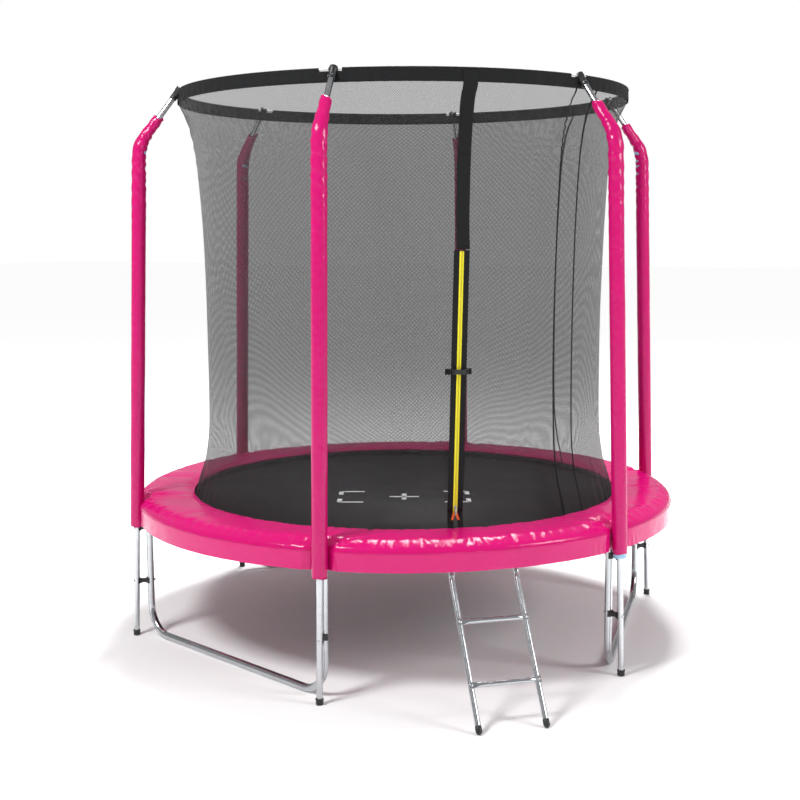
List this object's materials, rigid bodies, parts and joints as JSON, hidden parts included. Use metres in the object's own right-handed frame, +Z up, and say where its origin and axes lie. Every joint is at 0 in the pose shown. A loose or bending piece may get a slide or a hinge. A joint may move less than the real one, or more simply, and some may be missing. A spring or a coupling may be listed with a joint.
{
  "type": "trampoline",
  "caption": "Round garden trampoline with steel legs, springs, padded edge cover, inner safety net on padded poles, zipped door and hook-on ladder.",
  "frame": {"origin": "on the ground, on the vertical axis of the round frame", "axes": "+Z up; the door and the ladder face halfway between +X and -Y"},
  "size_m": [2.4922, 2.4922, 2.4772],
  "materials": {
    "galvanised_steel": "satin",
    "sleeve_foam": "satin",
    "pad_vinyl": "gloss",
    "pad_foam": "matte",
    "black_plastic": "satin",
    "black_webbing": "matte",
    "net_mesh": "matte",
    "mat_weave": "satin",
    "fibre_rod": "satin",
    "zip_tape": "matte",
    "zip_metal": "satin"
  },
  "bodies": {
    "frame": {"top_rail_1": "galvanised_steel", "top_rail_2": "galvanised_steel", "top_rail_3": "galvanised_steel", "top_rail_4": "galvanised_steel", "top_rail_5": "galvanised_steel", "top_rail_6": "galvanised_steel", "pole_1": "galvanised_steel", "pole_2": "galvanised_steel", "pole_3": "galvanised_steel", "pole_4": "galvanised_steel", "pole_5": "galvanised_steel", "pole_6": "galvanised_steel", "pole_sleeve_1": "sleeve_foam", "pole_sleeve_2": "sleeve_foam", "pole_sleeve_3": "sleeve_foam", "pole_sleeve_4": "sleeve_foam", "pole_sleeve_5": "sleeve_foam", "pole_sleeve_6": "sleeve_foam", "pole_cap_1": "black_plastic", "pole_cap_2": "black_plastic", "pole_cap_3": "black_plastic", "pole_cap_4": "black_plastic", "pole_cap_5": "black_plastic", "pole_cap_6": "black_plastic", "pole_foot_1": "black_plastic", "pole_foot_2": "black_plastic", "pole_foot_3": "black_plastic", "pole_foot_4": "black_plastic", "pole_foot_5": "black_plastic", "pole_foot_6": "black_plastic", "leg_spacer_1": "black_plastic", "leg_spacer_2": "black_plastic", "leg_spacer_3": "black_plastic", "leg_spacer_4": "black_plastic", "leg_spacer_5": "black_plastic", "leg_spacer_6": "black_plastic", "leg_base_1": "galvanised_steel", "leg_base_2": "galvanised_steel", "leg_base_3": "galvanised_steel", "net_ring_rod": "fibre_rod", "net_band": "black_webbing", "net_panel_1": "net_mesh", "net_panel_2": "net_mesh", "net_panel_3": "net_mesh", "spring_set": "galvanised_steel", "pad_foam": "pad_foam", "pad_cover": "pad_vinyl", "door_zip": "zip_tape", "door_flap": "black_webbing", "buckle_socket": "black_plastic"},
    "mat": {"jump_mat": "mat_weave"},
    "ladder": {"ladder_rail_left": "galvanised_steel", "ladder_rail_right": "galvanised_steel", "ladder_foot_left": "black_plastic", "ladder_foot_right": "black_plastic", "ladder_rung_upper": "galvanised_steel", "ladder_rung_lower": "galvanised_steel"},
    "slider": {"zip_slider": "zip_metal"},
    "pull_tab": {"zip_pull": "zip_metal"},
    "buckle_clip": {"buckle_tongue": "black_plastic"}
  },
  "joints": [
    {"name": "mat_bounce", "type": "slide", "parent": "frame", "child": "mat", "axis": [0, 0, 1], "range_m": [-0.12, 0], "stiffness_N_per_m": 5000, "springref_m": 0.02, "deforming": ["spring_set"]},
    {"name": "ladder_swing", "type": "hinge", "parent": "frame", "child": "ladder", "pos_m": [0.84387, -0.84387, 0.602], "axis": [-0.7071, -0.7071, 0], "range_deg": [0, 15]},
    {"name": "zip_slide", "type": "slide", "parent": "frame", "child": "slider", "axis": [0.0054, 0.0429, 0.9991], "range_m": [0, 1.02]},
    {"name": "zip_pull_swing", "type": "hinge", "parent": "slider", "child": "pull_tab", "pos_m": [0.65984, -0.71823, 0.72623], "axis": [-0.7073, -0.7061, 0.0341], "range_deg": [0, 150]},
    {"name": "buckle_release", "type": "slide", "parent": "frame", "child": "buckle_clip", "axis": [0.7071, 0.7071, 0], "range_m": [0, 0.03]}
  ]
}
